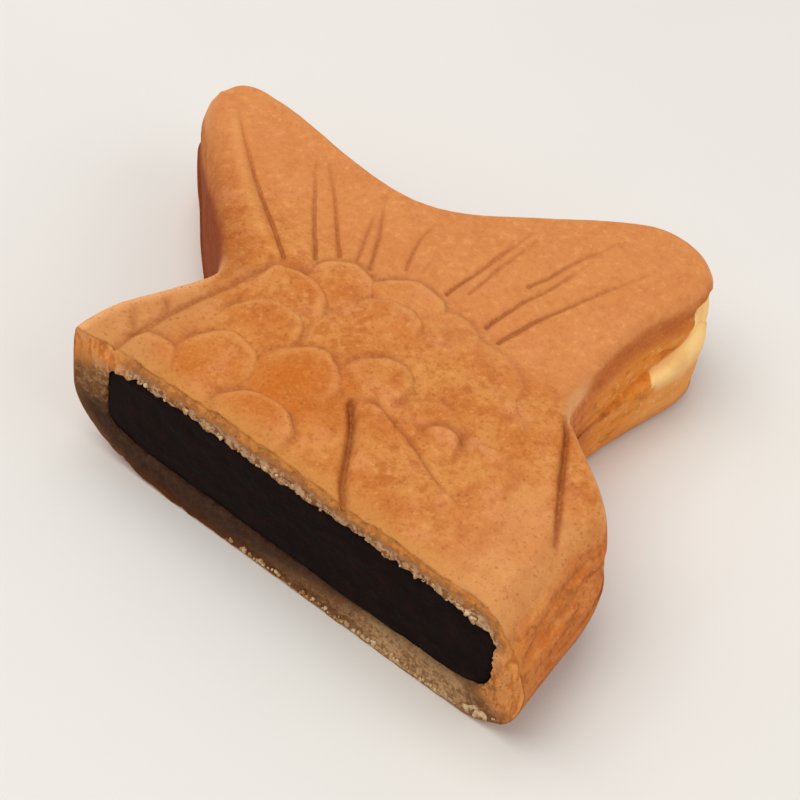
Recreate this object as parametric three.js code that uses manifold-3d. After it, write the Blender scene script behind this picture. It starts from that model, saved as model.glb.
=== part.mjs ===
// The tail half of a fish-shaped filled cake, cut straight across its middle.
// Millimetres, +Z up. While it is shaped, X runs from the cut to the tail and Y from belly to back,
// with the cut in the plane X = 0. At the end the whole is centred over the floor.

import * as THREE from 'three';
import { mergeVertices } from 'three/addons/utils/BufferGeometryUtils.js';
import Module from 'manifold-3d';

// ---- driving sizes ------------------------------------------------------------------------------

const BODY_TOP = 24.3;        // the back of the body over the floor, before its relief
const TAIL_TOP = 22.6;        // the top of the tail, a little lower than the body
const SEAM = 12.5;            // where the two halves of the mould meet
const TAIL_LIFT = 0.2;        // how far the underside of the tail stands clear of the floor
const DOME = 0.9;             // how much the middle of the body swells over its edges

const SHOULDER = 2.7;         // width of the rounded top edge of the tail
const FIN_SHOULDER = 1.7;     // along the dorsal fin
const SHOULDER_ROUND = 2.2;   // 1 is a bevel, 2 a quarter ellipse
const BELLY_SHOULDER = 8.8;   // the belly's edge is wider and flatter
const BELLY_ROUND = 1.35;
const HEEL = 1.7;             // width of the rounded lower edge of the tail
const BELLY_HEEL = 13;        // of the belly
const BACK_HEEL = 20;         // and under the dorsal fin
const BELLY_HEEL_ROUND = 2.6;
const HEEL_ROUND = 2;         // of the other two
const LEDGE = 2;              // how far the lower half stands out under the lower lobe

const SCALE_LIFT = 1.15;      // how far the tailward rim of a scale stands over the next one
const SCALE_FOOT = 0.25;      // height of its headward edge, as a share of that
const RAY_DEPTH = 1.0;        // depth and half width of the tail's grooves
const RAY_WIDTH = 0.95;
const UNDER_RAYS = 0.7;       // the same grooves below, as a share of that depth
const FIN_DEPTH = 1.35;       // depth and half width of the grooves along the fins
const FIN_WIDTH = 1.0;
const EVEN_REACH = 0.6;       // heights are evened out over this distance

const CRUST_GAP = 0.3;        // clearance between the cake and its filling
const FILL_REACH = 44;        // the filling ends this far behind the cut, at the root of the tail
const FILL_BACK = 35.1;       // reach of the filling towards the back, at the cut
const FILL_BELLY = -35.3;     // and towards the belly
const FILL_END = 3;           // Y of the filling's far end
const FILL_MID = 13.6;        // its middle height
const FILL_HALF = 7.4;        // and half its thickness
const FILL_SQUARE = 6;        // power of its section at the cut: 2 is an ellipse, and more is squarer
const FILL_NOSE = 2.4;        // and at the far end

const ALONG = 62;             // cells from the cut to the tail end, even
const ACROSS = 56;            // cells from belly to back, even
const TAIL_CROWDING = 0.24;   // how much the cells crowd together towards the tail end
const RIM_CROWDING = 0.19;    // and towards the rims along the belly and the back
const RIM_STEPS = 90;         // straight steps that stand for each side of the outline
const FILL_STEPS = 16;        // sections of the filling
const FILL_SIDES = 36;        // points round one section

// ---- the outline at the seam --------------------------------------------------------------------

const BACK_AT_CUT = [0, 41.4];
const BELLY_AT_CUT = [0, -41.5];
const UPPER_TIP = [55.2, 63.8];
const LOWER_TIP = [77.3, -23];

const backRun = smoothRun([
  BACK_AT_CUT, [6.8, 40.8], [13.4, 37.9], [19, 35.5],     // dorsal fin
  [23, 35.4], [26.8, 39.4], [34, 47], [40.5, 53.1],       // root and outer edge of the upper lobe
  [47, 59.1], [51.3, 62.5], UPPER_TIP,
]);

const bellyRun = smoothRun([
  BELLY_AT_CUT, [10, -40.8], [17.6, -40.3], [22.8, -38.9],  // belly and the corner of the anal fin
  [27, -35.8], [31.2, -31], [35, -25.6],                  // the fin's hind edge
  [38.2, -21.8], [43, -20.8], [51, -21.3],                // lower edge of the lower lobe
  [60, -23.1], [68, -24.9], [73.6, -24.9], LOWER_TIP,
]);

const tailRun = smoothRun([
  LOWER_TIP, [80.4, -18.8], [81.9, -13.3], [81.1, -7.6],  // round tip of the lower lobe
  [77.6, -2], [69.4, 7.6], [62.8, 15.4], [59.4, 22],      // the shallow fork
  [58.8, 28], [59.6, 37], [61, 45], [61.8, 53],
  [61, 58.8], [58.8, 62], UPPER_TIP,
]);

// ---- relief pressed by the mould ----------------------------------------------------------------

// Rows of scales from back to belly: Y of the row, then the X of each tailward rim with its radius.
const SCALE_ROWS = [
  { y: 29.8, scales: [[8, 4.6]] },
  { y: 22, scales: [[14.6, 6.2], [24.1, 6.3], [31.3, 6.6]] },
  { y: 18.3, scales: [[38.2, 5.4]] },
  { y: 10.8, scales: [[8.6, 6.9], [20.2, 6.4], [42.2, 6.2]] },
  { y: 8.3, scales: [[36.8, 6.1]] },
  { y: 1.6, scales: [[25.7, 5.4], [41.4, 4.8]] },
  { y: -6, scales: [[40.3, 8.9]] },
  { y: -8.6, scales: [[24.2, 5.1]] },
  { y: -17.6, scales: [[22.6, 4.7]] },
];

// Grooves of the tail: where each starts, its direction in degrees and its length.
const RAYS = [
  { from: [30.5, 27.8], turn: 51, length: 33 },
  { from: [33.5, 24], turn: 38, length: 24 },
  { from: [37, 22.8], turn: 41, length: 21 },
  { from: [40, 20.8], turn: 23, length: 7 },
  { from: [38.5, 17.2], turn: 30, length: 17 },
  { from: [41.8, 13.8], turn: 10, length: 14 },
  { from: [43, 11], turn: 14, length: 7 },
  { from: [43, 6.3], turn: -7, length: 22 },
  { from: [45, 3.5], turn: -4, length: 17 },
  { from: [41.5, -2.2], turn: -10, length: 22 },
  { from: [50, -1.5], turn: -15, length: 21 },
  { from: [40, -5.8], turn: -17, length: 29 },
];

// Grooves that set the fins off from the body.
const FIN_GROOVES = [
  smoothRun([[-2, 33.6], [10, 32.6], [20, 31.4], [29, 30.2]]),
  smoothRun([[35, -21.6], [30, -24.6], [22, -29], [15, -33.4]]),
  smoothRun([[-2, -9.6], [5, -4.6], [10, -1.6], [14, 1.4], [17.6, 1.2]]),
];
const FIN_NOTCHES = [
  smoothRun([[4.6, 33], [6.4, 35.4], [8.6, 39]]),
  smoothRun([[10.4, 32.4], [13, 36.6]]),
];

// The pectoral fin lies on the body as a low plate. Its edge faces the tail, and it fades into the
// body towards the head, towards the belly and along its slanting upper side.
const PECTORAL_LIFT = 0.9;
const PECTORAL_STEP = 1.2;
const PECTORAL_EDGE = smoothRun([[17.2, 1.2], [17, -3.5], [14.6, -9], [12.8, -13.5], [12, -19]]);
const PECTORAL_ROWS = [-18, 1];
const PECTORAL_ROOT = [2, 12];
const PECTORAL_BELLY = [-21, -12];
const PECTORAL_SLANT = 0.6;
const PECTORAL_UPPER = [1, -11];

// ---- plan and heights ---------------------------------------------------------------------------

function smoothRun(points) {
  const corners = points.map(([x, y]) => new THREE.Vector3(x, y, 0));
  const curve = new THREE.CatmullRomCurve3(corners, false, 'centripetal');
  curve.arcLengthDivisions = 400;
  return curve;
}

const edgeLine = [backRun, bellyRun, tailRun].map((curve) => curve.getSpacedPoints(RIM_STEPS));
const finLines = FIN_GROOVES.map((curve) => curve.getSpacedPoints(16));
const notchLines = FIN_NOTCHES.map((curve) => curve.getSpacedPoints(4));
const pectoralLine = PECTORAL_EDGE.getSpacedPoints(16);

function lineDistance(line, x, y) {
  let nearest = Infinity;
  for (let i = 1; i < line.length; i += 1) {
    const dx = line[i].x - line[i - 1].x;
    const dy = line[i].y - line[i - 1].y;
    const along = ((x - line[i - 1].x) * dx + (y - line[i - 1].y) * dy) / (dx * dx + dy * dy);
    const t = THREE.MathUtils.clamp(along, 0, 1);
    nearest = Math.min(nearest, Math.hypot(x - line[i - 1].x - t * dx, y - line[i - 1].y - t * dy));
  }
  return nearest;
}

function edgeDistance(x, y) {
  return Math.min(...edgeLine.map((line) => lineDistance(line, x, y)));
}

// 0 below the first bound and 1 above the second, whichever way round they are given.
function ramp(value, from, to) {
  const t = THREE.MathUtils.clamp((value - from) / (to - from), 0, 1);
  return t * t * (3 - 2 * t);
}

// Rises from 0 at the outline to 1 at the end of the shoulder, as a part of a superellipse.
function shoulder(distance, width, round) {
  const inward = Math.min(distance / width, 1);
  return (1 - (1 - inward) ** round) ** (1 / round);
}

function groove(distance, depth, halfWidth) {
  return -depth * Math.exp(-((distance / halfWidth) ** 2));
}

// Each scale is a disc that rises towards its tailward rim. The highest one shows.
function scales(x, y) {
  let height = 0;
  for (const row of SCALE_ROWS) {
    for (const [rim, radius] of row.scales) {
      const fromCentre = Math.hypot(x - rim + radius, y - row.y) / radius;
      const tilt = SCALE_FOOT + (1 - SCALE_FOOT) * (x - rim + 2 * radius) / (2 * radius);
      const dome = fromCentre < 1 ? (1 - fromCentre ** 6) ** 0.5 : 0;
      height = Math.max(height, SCALE_LIFT * tilt * dome);
    }
  }
  return height;
}

function pectoralPlate(x, y) {
  const row = THREE.MathUtils.clamp(y, ...PECTORAL_ROWS);
  const edge = pectoralLine.reduce((best, p) => (Math.abs(p.y - row) < Math.abs(best.y - row) ? p : best));
  const inside = ramp(edge.x - x, 0, PECTORAL_STEP) * ramp(x, ...PECTORAL_ROOT) * ramp(y, ...PECTORAL_BELLY);
  return PECTORAL_LIFT * inside * ramp(y - PECTORAL_SLANT * x, ...PECTORAL_UPPER);
}

function rays(x, y) {
  let height = 0;
  for (const { from, turn, length } of RAYS) {
    const angle = THREE.MathUtils.degToRad(turn);
    const dx = x - from[0];
    const dy = y - from[1];
    const along = dx * Math.cos(angle) + dy * Math.sin(angle);
    const beyond = along - THREE.MathUtils.clamp(along, 0, length);
    const aside = Math.hypot(beyond, dy * Math.cos(angle) - dx * Math.sin(angle));
    height = Math.min(height, groove(aside, RAY_DEPTH, RAY_WIDTH));
  }
  return height;
}

function tailShare(x, y) {
  return ramp(x - 0.12 * Math.abs(y - 8), 28, 42);
}

function bellyShare(x, y) {
  return ramp(y, -16, -30) * ramp(x, 27, 17);
}

function finShare(x, y) {
  return ramp(y, 24, 33) * ramp(x, 27, 16);
}

// The upper half of the mould is a little smaller than the lower one along the lower lobe.
function ledge(x, y) {
  return LEDGE * ramp(x, 44, 62) * ramp(x, 80, 73) * ramp(y, -9, -19);
}

function topHeight(x, y) {
  const distance = Math.max(edgeDistance(x, y) - ledge(x, y), 0);
  const belly = bellyShare(x, y);
  const edge = THREE.MathUtils.lerp(SHOULDER, FIN_SHOULDER, finShare(x, y));
  const width = THREE.MathUtils.lerp(edge, BELLY_SHOULDER, belly);
  const round = THREE.MathUtils.lerp(SHOULDER_ROUND, BELLY_ROUND, belly);
  const dome = DOME * (1 - (y / 40) ** 2) * ramp(distance, 0, 30);
  const roof = THREE.MathUtils.lerp(BODY_TOP, TAIL_TOP, tailShare(x, y)) + dome;
  let relief = Math.max(scales(x, y), pectoralPlate(x, y)) + rays(x, y);
  for (const line of finLines) relief += groove(lineDistance(line, x, y), FIN_DEPTH, FIN_WIDTH);
  for (const line of notchLines) relief += groove(lineDistance(line, x, y), RAY_DEPTH, FIN_WIDTH);
  return SEAM + (roof - SEAM) * shoulder(distance, width, round) + relief * ramp(distance, 0.4, 3);
}

// The mean over a small square, so that fine relief does not break up between the cells.
function evenTop(x, y) {
  let sum = topHeight(x, y);
  for (const dx of [-EVEN_REACH, EVEN_REACH]) {
    for (const dy of [-EVEN_REACH, EVEN_REACH]) sum += topHeight(x + dx, y + dy);
  }
  return sum / 5;
}

function bottomHeight(x, y) {
  const distance = edgeDistance(x, y);
  const tail = tailShare(x, y);
  const ground = TAIL_LIFT * ramp(x, 37, 52) - UNDER_RAYS * rays(x, y) * ramp(distance, 1, 4);
  const back = ramp(y, -10, 20);
  const width = THREE.MathUtils.lerp(THREE.MathUtils.lerp(BELLY_HEEL, BACK_HEEL, back), HEEL, tail);
  const round = THREE.MathUtils.lerp(BELLY_HEEL_ROUND, HEEL_ROUND, Math.max(back, tail));
  return SEAM - (SEAM - ground) * shoulder(distance, width, round);
}

// ---- the cake -----------------------------------------------------------------------------------

// Cells crowd together towards both rims, and towards the tail end, where the edge is rounded.
function acrossShare(share) {
  const v = 2 * share - 1;
  return 0.5 + 0.5 * ((1 + RIM_CROWDING) * v - RIM_CROWDING * v ** 5);
}

function alongShare(share) {
  return (1 + TAIL_CROWDING) * share - TAIL_CROWDING * share ** 4;
}

// A point of the plan: the four sides of the outline carried inwards over the whole patch.
function planPoint(s, t) {
  const back = backRun.getPointAt(s);
  const belly = bellyRun.getPointAt(s);
  const tail = tailRun.getPointAt(t);
  const cut = new THREE.Vector3(...BELLY_AT_CUT, 0).lerp(new THREE.Vector3(...BACK_AT_CUT, 0), t);
  const far = new THREE.Vector3(...LOWER_TIP, 0).lerp(new THREE.Vector3(...UPPER_TIP, 0), t);
  const sides = belly.lerp(back, t).add(cut.clone().lerp(tail, s));
  return sides.sub(cut.lerp(far, s));
}

function cakeSkin() {
  const vertices = [];
  const faces = [];
  const column = ACROSS + 1;
  const plan = [];
  for (let i = 0; i <= ALONG; i += 1) {
    for (let j = 0; j <= ACROSS; j += 1) plan.push(planPoint(alongShare(i / ALONG), acrossShare(j / ACROSS)));
  }
  const onRim = (i, j) => i === ALONG || j === 0 || j === ACROSS;
  const add = (point, z) => vertices.push(point.x, point.y, z) / 3 - 1;
  const top = plan.map((p, n) => add(p, onRim(Math.floor(n / column), n % column) ? SEAM : evenTop(p.x, p.y)));
  const topAt = (i, j) => top[i * column + j];

  for (let i = 0; i < ALONG; i += 1) {
    for (let j = 0; j < ACROSS; j += 1) {
      fillCell([topAt(i, j), topAt(i + 1, j), topAt(i + 1, j + 1), topAt(i, j + 1)], vertices, faces);
    }
  }

  // The underside takes every second point, and shares the rim with the top.
  const under = new Map();
  for (let i = 0; i <= ALONG; i += 2) {
    for (let j = 0; j <= ACROSS; j += 2) {
      const p = plan[i * column + j];
      under.set(`${i},${j}`, onRim(i, j) ? topAt(i, j) : add(p, bottomHeight(p.x, p.y)));
    }
  }
  const underAt = (i, j) => under.get(`${i},${j}`);
  const shared = new Set(under.values());
  for (let i = 0; i < ALONG; i += 2) {
    for (let j = 0; j < ACROSS; j += 2) {
      const corners = [underAt(i, j), underAt(i, j + 2), underAt(i + 2, j + 2), underAt(i + 2, j)];
      if (j + 2 === ACROSS) corners.splice(2, 0, topAt(i + 1, ACROSS));
      if (i + 2 === ALONG) corners.splice(-1, 0, topAt(ALONG, j + 1));
      if (j === 0) corners.push(topAt(i + 1, 0));
      fillFan(corners, Math.max(corners.findIndex((n) => !shared.has(n)), 0), faces);
    }
  }

  // The cut face stands in the plane X = 0, in strips from the top down to the underside.
  for (let j = 0; j < ACROSS; j += 2) {
    fillFan([topAt(0, j + 1), topAt(0, j + 2), underAt(0, j + 2), underAt(0, j), topAt(0, j)], 0, faces);
  }
  return geometryOf(vertices, faces);
}

// A fan over a loop of vertices, from the one at the apex.
function fillFan(loop, apex, faces) {
  const turned = [...loop.slice(apex), ...loop.slice(0, apex)];
  for (let k = 1; k + 1 < turned.length; k += 1) {
    if (turned[k] !== turned[k + 1]) faces.push(turned[0], turned[k], turned[k + 1]);
  }
}

// A cell of the top is folded along the diagonal that is nearer to level.
function fillCell([a, b, c, d], vertices, faces) {
  const rise = (m, n) => Math.abs(vertices[3 * m + 2] - vertices[3 * n + 2]);
  if (rise(a, c) < rise(b, d)) faces.push(a, b, c, a, c, d);
  else faces.push(a, b, d, b, c, d);
}

function geometryOf(vertices, faces) {
  const geometry = new THREE.BufferGeometry();
  geometry.setAttribute('position', new THREE.Float32BufferAttribute(vertices, 3));
  geometry.setIndex(faces);
  return geometry;
}

// ---- the filling --------------------------------------------------------------------------------

// One section of the filling across X: a superellipse that turns from a flat slab into a round nose.
// Its reach to each side and its thickness fall off along X, each by a superellipse of its own.
function fillSection(x, grow) {
  const share = Math.min(Math.max(x, 0) / (FILL_REACH + grow), 1);
  const taper = (power, root) => (1 - share ** power) ** (1 / root);
  const towardsBack = FILL_END + (FILL_BACK - FILL_END + grow) * taper(1.5, 1.7);
  const towardsBelly = FILL_END + (FILL_BELLY - FILL_END - grow) * taper(1.6, 1.6);
  const half = (FILL_HALF + grow) * taper(2.6, 2.2);
  const square = THREE.MathUtils.lerp(FILL_SQUARE, FILL_NOSE, share);
  const points = [];
  for (let k = 0; k < FILL_SIDES; k += 1) {
    const angle = (2 * Math.PI * k) / FILL_SIDES;
    const y = Math.sign(Math.cos(angle)) * Math.abs(Math.cos(angle)) ** (2 / square);
    const z = Math.sign(Math.sin(angle)) * Math.abs(Math.sin(angle)) ** (2 / square);
    const side = (towardsBack - towardsBelly) / 2;
    points.push(new THREE.Vector3(x, towardsBelly + side + side * y, FILL_MID + half * z));
  }
  return points;
}

function fillSolid(start, grow) {
  const sections = [];
  if (start < 0) sections.push(fillSection(start, grow));
  for (let k = 0; k < FILL_STEPS; k += 1) {
    sections.push(fillSection((FILL_REACH + grow) * Math.sin((Math.PI / 2) * (k / FILL_STEPS)), grow));
  }
  const vertices = sections.flat().flatMap((p) => [p.x, p.y, p.z]);
  const faces = [];
  const last = (sections.length - 1) * FILL_SIDES;
  const nose = vertices.push(FILL_REACH + grow, FILL_END, FILL_MID) / 3 - 1;
  const heart = vertices.push(start, FILL_END, FILL_MID) / 3 - 1;
  for (let k = 0; k < FILL_SIDES; k += 1) {
    const next = (k + 1) % FILL_SIDES;
    for (let row = 0; row < last; row += FILL_SIDES) {
      faces.push(row + k, row + next, row + FILL_SIDES + next);
      faces.push(row + k, row + FILL_SIDES + next, row + FILL_SIDES + k);
    }
    faces.push(last + k, last + next, nose);
    faces.push(heart, next, k);
  }
  return geometryOf(vertices, faces);
}

// ---- joining and placing ------------------------------------------------------------------------

const wasm = await Module();
wasm.setup();

function toSolid(geometry) {
  const merged = mergeVertices(geometry);
  return new wasm.Manifold(new wasm.Mesh({
    numProp: 3,
    vertProperties: new Float32Array(merged.getAttribute('position').array),
    triVerts: new Uint32Array(merged.getIndex().array),
  }));
}

function toGeometry(solid) {
  const mesh = solid.getMesh();
  return geometryOf(Array.from(mesh.vertProperties), Array.from(mesh.triVerts));
}

function piece(name, geometry, look) {
  geometry.computeVertexNormals();
  const mesh = new THREE.Mesh(geometry, new THREE.MeshStandardMaterial(look));
  mesh.name = name;
  return mesh;
}

const pocket = fillSolid(-2, CRUST_GAP);
const cakeGeometry = toGeometry(toSolid(cakeSkin()).subtract(toSolid(pocket)));
const cake = piece('cake', cakeGeometry, { color: '#b9763b', roughness: 0.85, metalness: 0 });
const filling = piece('filling', fillSolid(0, 0), { color: '#2a1714', roughness: 0.6, metalness: 0 });

const half = new THREE.Group();
half.add(cake, filling);
const box = new THREE.Box3().setFromObject(half);
const middle = box.getCenter(new THREE.Vector3());
half.position.set(-middle.x, -middle.y, -box.min.z);

export default half;
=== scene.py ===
import math

import bpy
import numpy as np
from mathutils import Matrix, Vector


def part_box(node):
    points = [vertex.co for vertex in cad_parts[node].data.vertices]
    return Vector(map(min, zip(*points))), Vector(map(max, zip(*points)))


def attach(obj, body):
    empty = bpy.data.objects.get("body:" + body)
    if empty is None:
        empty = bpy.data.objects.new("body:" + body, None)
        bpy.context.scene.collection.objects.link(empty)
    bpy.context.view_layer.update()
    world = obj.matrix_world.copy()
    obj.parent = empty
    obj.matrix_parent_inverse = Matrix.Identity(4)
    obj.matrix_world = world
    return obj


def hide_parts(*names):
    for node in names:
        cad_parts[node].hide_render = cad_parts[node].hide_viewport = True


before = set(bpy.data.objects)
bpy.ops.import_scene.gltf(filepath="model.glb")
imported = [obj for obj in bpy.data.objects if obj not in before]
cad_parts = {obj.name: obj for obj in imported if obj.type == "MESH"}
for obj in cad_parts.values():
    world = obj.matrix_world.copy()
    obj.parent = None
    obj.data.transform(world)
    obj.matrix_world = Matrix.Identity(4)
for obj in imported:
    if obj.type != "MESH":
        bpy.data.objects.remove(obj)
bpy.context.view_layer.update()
cakeLow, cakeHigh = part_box("cake")
mm = 0.001
tiny = 1e-6  # marks nearer than this are the same
print("frame loaded")


# the fish: millimetres, x from the cut to the tail, y from belly to back, z up from the floor
fish = {
    "bodyTop": 24.3, "tailTop": 22.6, "seam": 12.5, "tailLift": 0.2, "dome": 0.9,
    "shoulder": 2.7, "finShoulder": 0.9, "shoulderRound": 2.2, "rollWidth": 4.4,  # rounded top edges
    "bellyShoulder": 8.8, "bellyRound": 1.35,
    "heel": 1.7, "bellyHeel": 13, "backHeel": 20, "heelRound": 2, "bellyHeelRound": 2.6,
    "ledge": 2.0, "ledgeClimb": 3.4,  # how far the lower half stands out under the lower lobe, and its rise
    "lip": 0.25,  # thin lip of batter along the rest of the seam
    "wallWidth": 2.7,  # the steep edge that gets rows of its own
    "backAtCut": (0, 41.4), "bellyAtCut": (0, -41.5), "upperTip": (55.2, 63.8), "lowerTip": (77.3, -23),
}
backPoints = [
    fish["backAtCut"], (6.8, 40.8), (13.4, 37.9), (19, 35.5), (23, 35.4), (26.8, 39.4),
    (34, 47), (40.5, 53.1), (47, 59.4), (51.3, 62.9), fish["upperTip"],
]
bellyPoints = [
    fish["bellyAtCut"], (10, -40.8), (17.6, -40.3), (22.8, -38.9), (27, -35.8), (31.2, -31),
    (35, -25.6), (38.2, -21.8), (43, -20.8), (51, -21.3), (60, -23.1), (68, -24.9), (73.6, -24.9),
    fish["lowerTip"],
]
tailPoints = [
    fish["lowerTip"], (80.4, -18.8), (81.9, -13.3), (81.1, -7.6), (77.6, -2), (69.4, 7.6),
    (62.8, 15.4), (59.4, 22), (58.8, 28), (59.6, 37), (61, 45), (61.9, 53), (61.6, 58.8),
    (59.4, 62.2), fish["upperTip"],
]
toFrame = np.array([cakeLow.x, cakeLow.y - fish["bellyAtCut"][1] * mm, 0])  # from the fish's own zero


def smoothRun(points, steps=240):
    # a centripetal Catmull-Rom line through the points, in even steps
    line = np.array(points, float)
    line = np.vstack([2 * line[0] - line[1], line, 2 * line[-1] - line[-2]])
    fine = []
    for a, b, c, d in zip(line, line[1:], line[2:], line[3:]):
        knots = np.cumsum([0, *np.sqrt(np.linalg.norm([b - a, c - b, d - c], axis=1))])
        t = np.linspace(knots[1], knots[2], 24, endpoint=False)[:, None]

        def between(p, q, i, j):
            return (p * (knots[j] - t) + q * (t - knots[i])) / (knots[j] - knots[i])

        ab, bc, cd = between(a, b, 0, 1), between(b, c, 1, 2), between(c, d, 2, 3)
        fine.append(between(between(ab, bc, 0, 2), between(bc, cd, 1, 3), 1, 2))
    fine = np.vstack([*fine, line[-2:-1]])
    reach = np.cumsum([0, *np.linalg.norm(np.diff(fine, axis=0), axis=1)])
    even = np.linspace(0, reach[-1], steps + 1)
    return np.column_stack([np.interp(even, reach, fine[:, k]) for k in (0, 1)])


def pointAt(run, share):
    spot = np.clip(share, 0, 1) * (len(run) - 1)
    return np.column_stack([np.interp(spot, np.arange(len(run)), run[:, k]) for k in (0, 1)])


def lineDistance(line, x, y):
    nearest = np.full(len(x), np.inf)
    for (ax, ay), (bx, by) in zip(line, line[1:]):
        dx, dy = bx - ax, by - ay
        t = np.clip(((x - ax) * dx + (y - ay) * dy) / (dx * dx + dy * dy), 0, 1)
        nearest = np.minimum(nearest, (x - ax - t * dx) ** 2 + (y - ay - t * dy) ** 2)
    return np.sqrt(nearest)


def ramp(value, low, high):
    # 0 before low and 1 past high, whichever way round they are
    t = np.clip((value - low) / (high - low), 0, 1)
    return t * t * (3 - 2 * t)


def lerp(a, b, share):
    return a + (b - a) * share


def bell(value, width, power=2):
    # 1 at zero, falling off over the width
    return np.exp(-(value / width) ** power)


noiseCount = 65536  # a power of two
noiseTable = np.random.default_rng(7).uniform(-1, 1, noiseCount)
noiseKeys = (73856093, 19349663, 83492791, 40503)  # spread x, y, z and the seed over the table


def cloud(points, size, seed=0):
    # smooth noise between -1 and 1, with lumps of about that size
    spot = points / size
    cell = np.floor(spot).astype(np.int64)
    part = spot - cell
    part = part * part * (3 - 2 * part)
    total = np.zeros(len(points))
    for corner in np.ndindex(2, 2, 2):
        x, y, z, w = (step * key for step, key in zip((*(cell + corner).T, seed), noiseKeys))
        weight = np.prod(np.abs(1 - np.array(corner) - part), axis=1)
        total += noiseTable[(x ^ y ^ z ^ w) & (noiseCount - 1)] * weight
    return total


def lumps(points, sizes, seed=0):
    # clouds of several sizes, each with its own height
    return sum(height * cloud(points, size, seed + k) for k, (size, height) in enumerate(sizes))


backRun, bellyRun, tailRun = (smoothRun(points) for points in (backPoints, bellyPoints, tailPoints))
rimRun = np.vstack([bellyRun, tailRun[1:], backRun[-2::-1]])  # belly, tail end and back in one line


def inwardAt(run):
    # direction into the fish all along the rim, straight across beside the cut
    tangent = np.gradient(run, axis=0)
    inward = np.column_stack([-tangent[:, 1], tangent[:, 0]])
    inward /= np.linalg.norm(inward, axis=1)[:, None]
    wide = np.pad(inward, ((6, 6), (0, 0)), mode="edge")
    inward = sum(wide[k:k + len(run)] for k in range(13)) / 13
    inward[:, 0] *= ramp(run[:, 0], 0, 5)
    return inward / np.linalg.norm(inward, axis=1)[:, None]


rimInward = inwardAt(rimRun)


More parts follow.
